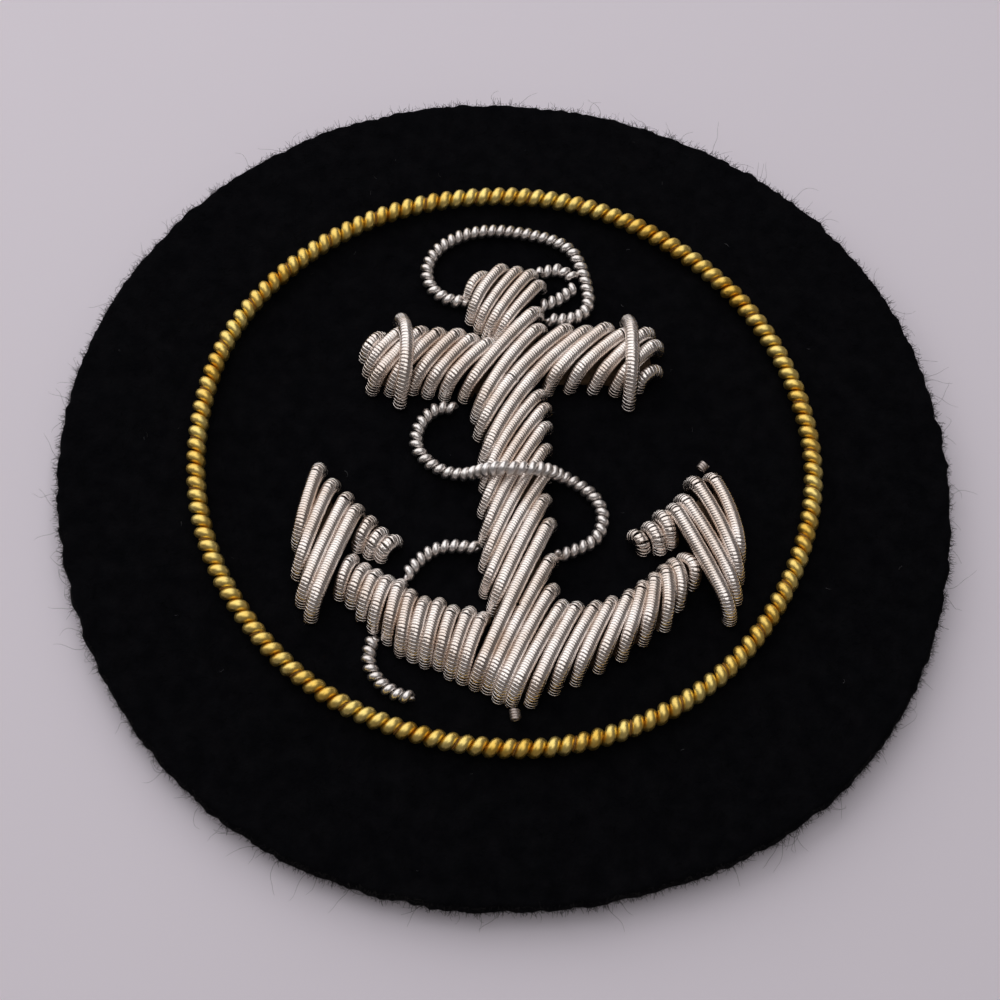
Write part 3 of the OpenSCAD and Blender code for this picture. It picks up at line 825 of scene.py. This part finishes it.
def padding(name, cad, field, d):
    """Felt mound under a field's purls, trimmed to its outline."""
    rows, _ = purl_rows(field, d)
    wide = felt_steps * (len(rows) - 1) + 1
    along = 26
    lift = min(min(purl_lift, short_rise * np.linalg.norm(a - b)) for a, b, _ in rows)
    t = np.linspace(felt_in, 1 - felt_in, along)
    slope = np.clip(np.minimum(t - felt_in, 1 - felt_in - t) / felt_ramp, 0, 1) ** 0.5
    top = np.zeros((wide, along, 3))
    for j in range(wide):
        f = j / (wide - 1) * (len(rows) - 1)
        i = min(int(f), len(rows) - 2)
        a, b, bow = (lerp(v, w, f - i) for v, w in zip(rows[i], rows[i + 1]))
        side = min(j, wide - 1 - j) / felt_steps
        rise = slope * min(1.0, felt_side + (1 - felt_side) * side)
        top[j, :, :2] = bowed(a, b, bow, t) + border_at
        top[j, :, 2] = face_z - 0.02 + lift * 0.80 * rise
    flat = top.reshape(-1, 3)
    flat[:, 2] += 0.02 * waves(flat[:, :2], 0.7, 17, 3)
    low = flat.copy()
    low[:, 2] = face_z - 0.06
    n = wide * along
    i = np.arange(wide - 1)[:, None] * along
    j = np.arange(along - 1)[None, :]
    up = np.stack([i + j, i + j + 1, i + along + j + 1, i + along + j], -1).reshape(-1, 4)
    loop = (list(range(along)) + [q * along + along - 1 for q in range(1, wide)]
            + [(wide - 1) * along + q for q in range(along - 2, -1, -1)]
            + [q * along for q in range(wide - 2, 0, -1)])
    wall = np.array([[q2, q, q + n, q2 + n] for q, q2 in zip(loop, loop[1:] + loop[:1])])
    verts = np.vstack([flat, low])
    obj = dress(make_mesh(name, verts, np.vstack([up, up[:, ::-1] + n, wall])), felt,
                "padding_felt", cad)


def stock_band(cad, band, seed):
    """A purl laid over the stock and drawn down at both sides."""
    r = np.random.default_rng(seed)
    soup = Soup()
    lift = purl_lift + broad_purl_d + band_gap
    a, b = np.array(band[0]) * k, np.array(band[1]) * k
    line = laid_line(a, b, band[2] * k, band_purl_d, lift - 0.06,
                     np.array([band_bend, band_bend]), crown=0.22)
    coil(soup, line, band_purl_d, band_wire, band_wire, 14, section=FLAT_WIRE,
         start=r.uniform(0, 6.28), wobble=0.02, seed=seed)
    return dress(soup.make(cad + "_coils"), silver, "silver_purl", cad)


def cut_ends():
    """Two snippets of purl that were left lying."""
    soup = Soup()
    r = np.random.default_rng(77)
    for a, b in LOOSE_CUTS:
        a, b = np.array(a) * k + border_at, np.array(b) * k + border_at
        z = face_z + 0.34
        line = even(np.array([[a[0], a[1], z], [b[0], b[1], z + 0.04]]), 0.04)
        coil(soup, line, fine_purl_d, chip_wire, chip_wire, 14, section=FLAT_WIRE,
             start=r.uniform(0, 6))
    return dress(soup.make("loose_cut_ends"), dull_silver, "silver_purl", "cut_ends")


# ---------------------------------------------------------------- the rope
def rope_line(points, rise, free_end):
    """The route, run on a little at its start, and at its end too unless that end lies free, to
    tuck in against the purls.
    """
    p = np.array([[x * k + border_at[0], y * k + border_at[1],
                   face_z + rope_d / 2 + laid_gap + (rise[i] if rise else 0.0)]
                  for i, (x, y) in enumerate(points)])
    p[0] += unit(p[0] - p[1]) * tuck
    if not free_end:
        p[-1] += unit(p[-1] - p[-2]) * tuck
    return spline(p, 0.06)


def rope_pieces():
    stitches = Soup()
    for i, (name, (points, rise)) in enumerate(ROPES.items()):
        soup = Soup()
        line = rope_line(points, rise, name == "rope_tail")
        coil(soup, line, rope_d, rope_wire, rope_pitch, 22, 10, tight=False, wobble=0.04,
             seed=51 + i, start=1.0 + i)
        dress(soup.make(name + "_coil"), rope_silver, "silver_purl", name)
        turns = measure(line)[-1] / rope_pitch
        couching(stitches, line, turns, rope_d, rope_turns_a_stitch, silver_thread_d,
                 silver_dip, 2)
    dress(stitches.make("rope_couching"), silver_thread, "silver_thread", "rope_stitching")


# ---------------------------------------------------------------- camera and light
def camera():
    """Looks at the disc's centre from the lower side, with a slight roll."""
    theta, psi, phi = (math.radians(v) for v in (26.818, 7.597, 6.0))
    away = 135.0

    def badge(v):
        x, y, z = v
        return Vector((x * math.cos(phi) + y * math.sin(phi),
                       -x * math.sin(phi) + y * math.cos(phi), z))

    upward = (0.0, math.cos(theta), math.sin(theta))
    right = badge([math.cos(psi), math.sin(psi) * upward[1], math.sin(psi) * upward[2]])
    up = badge([-math.sin(psi), math.cos(psi) * upward[1], math.cos(psi) * upward[2]])
    back = badge([0.0, -math.sin(theta), math.cos(theta)])
    at = Vector((0.0, 0.0, face_z)) + back * away
    cam = bpy.data.cameras.new("camera")
    cam.sensor_width = 36.0
    cam.lens = 80.70
    cam.shift_x, cam.shift_y = -0.0101, -0.0291
    cam.clip_start = 0.01
    obj = bpy.data.objects.new("camera", cam)
    m = Matrix((right, up, back)).transposed().to_4x4()
    m.translation = at * MM
    obj.matrix_world = m
    bpy.context.scene.collection.objects.link(obj)
    bpy.context.scene.camera = obj


def area_light(name, at, size, size_y, power, colour):
    """A soft box that faces the badge."""
    light = bpy.data.lights.new(name, "AREA")
    light.shape = "RECTANGLE"
    light.size = size
    light.size_y = size_y
    light.energy = power
    light.color = colour
    obj = bpy.data.objects.new(name, light)
    obj.location = at
    obj.rotation_euler = (-Vector(at)).to_track_quat("-Z", "Y").to_euler()
    bpy.context.scene.collection.objects.link(obj)


def studio():
    world = bpy.data.worlds.new("studio")
    world.use_nodes = True
    background = world.node_tree.nodes["Background"]
    background.inputs["Color"].default_value = (0.86, 0.79, 0.77, 1.0)
    background.inputs["Strength"].default_value = 0.16
    bpy.context.scene.world = world
    bpy.context.scene.view_settings.view_transform = "Standard"
    area_light("key", (-0.135, 0.20, 0.17), 0.53, 0.38, 0.66, (1.0, 0.985, 0.985))
    area_light("top", (0.0, -0.02, 0.60), 0.56, 0.56, 1.0, (1.0, 1.0, 1.0))


def floor():
    reach, z = 600, -0.02
    verts = [[-reach, -reach, z], [reach, -reach, z], [reach, reach, z], [-reach, reach, z]]
    obj = make_mesh("floor", verts, [[0, 1, 2, 3]])
    mat, tree, bsdf = material("floor_paper")
    vec = coords(tree, 1000.0)
    grain = noise(tree, vec, 0.03, 2.0)
    tree.links.new(ramp(tree, grain, [(0.2, (0.87, 0.815, 0.90)), (0.8, (0.89, 0.835, 0.92))]),
                   bsdf.inputs["Base Color"])
    bsdf.inputs["Roughness"].default_value = 0.85
    bsdf.inputs["Specular IOR Level"].default_value = 0.2
    obj.data.materials.append(mat)


# ---------------------------------------------------------------- build
camera()
studio()
floor()
face_cloth()
rim_fibres()
long_fibres()
nap_fibres()
lint_specks()
backing()
border_purl()
border_stitches()
for number, (part, field) in enumerate(FIELDS.items()):
    size = field[4]
    laid_purls(part + "_coils", part + "_purls", field, size, 100 + number,
               joints=(2,) if part in ("crossing", "crown") else ())
    if "barb" not in part:
        padding(part + "_felt", part + "_padding", field, size)
for number, (part, band) in enumerate(BANDS.items()):
    stock_band(part, band, 200 + number)
cut_ends()
rope_pieces()
